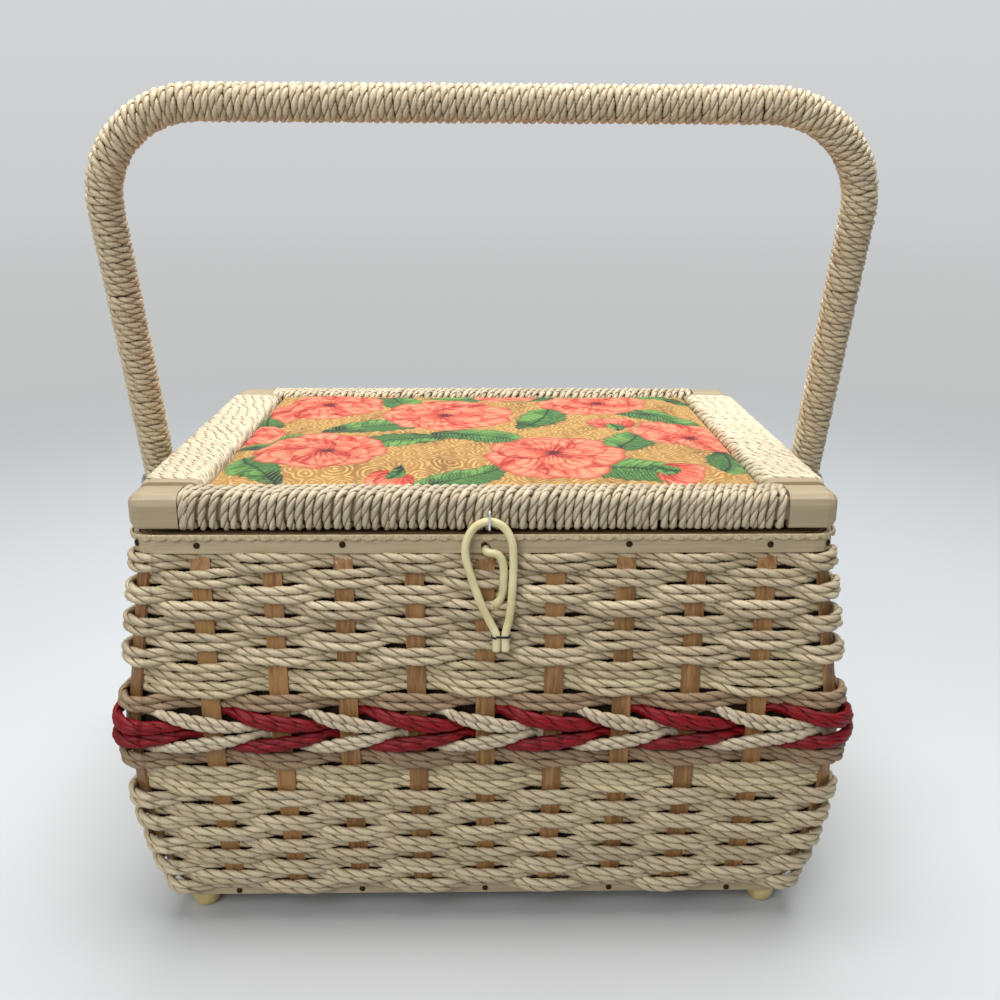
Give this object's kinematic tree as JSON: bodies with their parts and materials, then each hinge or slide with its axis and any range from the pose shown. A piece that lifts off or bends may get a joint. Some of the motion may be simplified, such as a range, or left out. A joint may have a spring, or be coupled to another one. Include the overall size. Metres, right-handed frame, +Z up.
{
  "type": "wicker sewing basket",
  "caption": "Lidded woven sewing basket with swollen walls, a padded hinged lid in a cord-wound frame, a swinging bail handle, a cord loop latch and dome feet.",
  "frame": {"origin": "on the floor, under the middle of the walls in plan", "axes": "+Z up, the latch's side towards -Y, the hinges' side towards +Y, +X to the right seen from the front"},
  "size_m": [0.3362, 0.2506, 0.3636],
  "materials": {
    "cream_cord": "satin cream twisted paper cord",
    "tan_cord": "satin pinkish-tan twisted paper cord",
    "crimson_cord": "glossy crimson cord",
    "light_cord": "satin pale twisted paper cord",
    "stake_wood": "stained split wood",
    "frame_wood": "satin painted beige wood",
    "band_wood": "satin painted beige wood strip",
    "board": "raw board",
    "print_fabric": "matte floral print on gold",
    "foam": "soft padding",
    "lining_fabric": "satin gold lining cloth",
    "braid": "cream scalloped trim",
    "foot_plastic": "glossy yellowish cream",
    "latch_plastic": "glossy pale yellow cord",
    "tie_thread": "dark thread",
    "bright_steel": "bright",
    "brass_plate": "plated"
  },
  "bodies": {
    "basket": {"base_board": "board", "foot_front_left": "foot_plastic", "foot_front_right": "foot_plastic", "foot_back_left": "foot_plastic", "foot_back_right": "foot_plastic", "bottom_band": "band_wood", "stakes_front": "stake_wood", "stakes_back": "stake_wood", "stakes_left": "stake_wood", "stakes_right": "stake_wood", "corner_stake_front_left": "stake_wood", "corner_stake_front_right": "stake_wood", "corner_stake_back_left": "stake_wood", "corner_stake_back_right": "stake_wood", "weave_lower": "cream_cord", "accent_row_lower": "tan_cord", "chevron_lower": "crimson_cord", "chevron_upper": "light_cord", "accent_row_upper": "tan_cord", "weave_upper": "cream_cord", "top_band": "band_wood", "inner_rim": "board", "lining": "lining_fabric", "rim_braid": "braid", "rim_braid_back": "braid", "keeper_loop": "latch_plastic", "hinge_body_leaf_left": "brass_plate", "hinge_body_leaf_right": "brass_plate", "hinge_pin_left": "bright_steel", "hinge_pin_right": "bright_steel", "pivot_bolt_left": "bright_steel", "pivot_bolt_right": "bright_steel", "pivot_spacer_left": "bright_steel", "pivot_spacer_right": "bright_steel", "pivot_nut_left": "bright_steel", "pivot_nut_right": "bright_steel"},
    "lid": {"lid_rail_front": "frame_wood", "lid_rail_back": "frame_wood", "lid_rail_left": "frame_wood", "lid_rail_right": "frame_wood", "wrap_front": "cream_cord", "wrap_back": "cream_cord", "wrap_left": "cream_cord", "wrap_right": "cream_cord", "lid_lining": "lining_fabric", "lid_board": "board", "lid_pad": "foam", "lid_cover": "print_fabric", "hinge_lid_leaf_left": "brass_plate", "hinge_lid_leaf_right": "brass_plate", "latch_staple": "bright_steel"},
    "latch": {"latch_loop": "latch_plastic", "latch_tie": "tie_thread"},
    "handle": {"handle_core": "stake_wood", "handle_wrap": "cream_cord"}
  },
  "joints": [
    {"name": "lid_hinge", "type": "hinge", "parent": "basket", "child": "lid", "pos_m": [0, 0.1135, 0.18855], "axis": [-1, 0, 0], "range_deg": [0, 105]},
    {"name": "latch_swing", "type": "hinge", "parent": "lid", "child": "latch", "pos_m": [0, -0.1143, 0.1942], "axis": [-1, 0, 0], "range_deg": [0, 120]},
    {"name": "handle_swing", "type": "hinge", "parent": "basket", "child": "handle", "pos_m": [0, -0.02, 0.1837], "axis": [1, 0, 0], "range_deg": [-104, 68]}
  ]
}
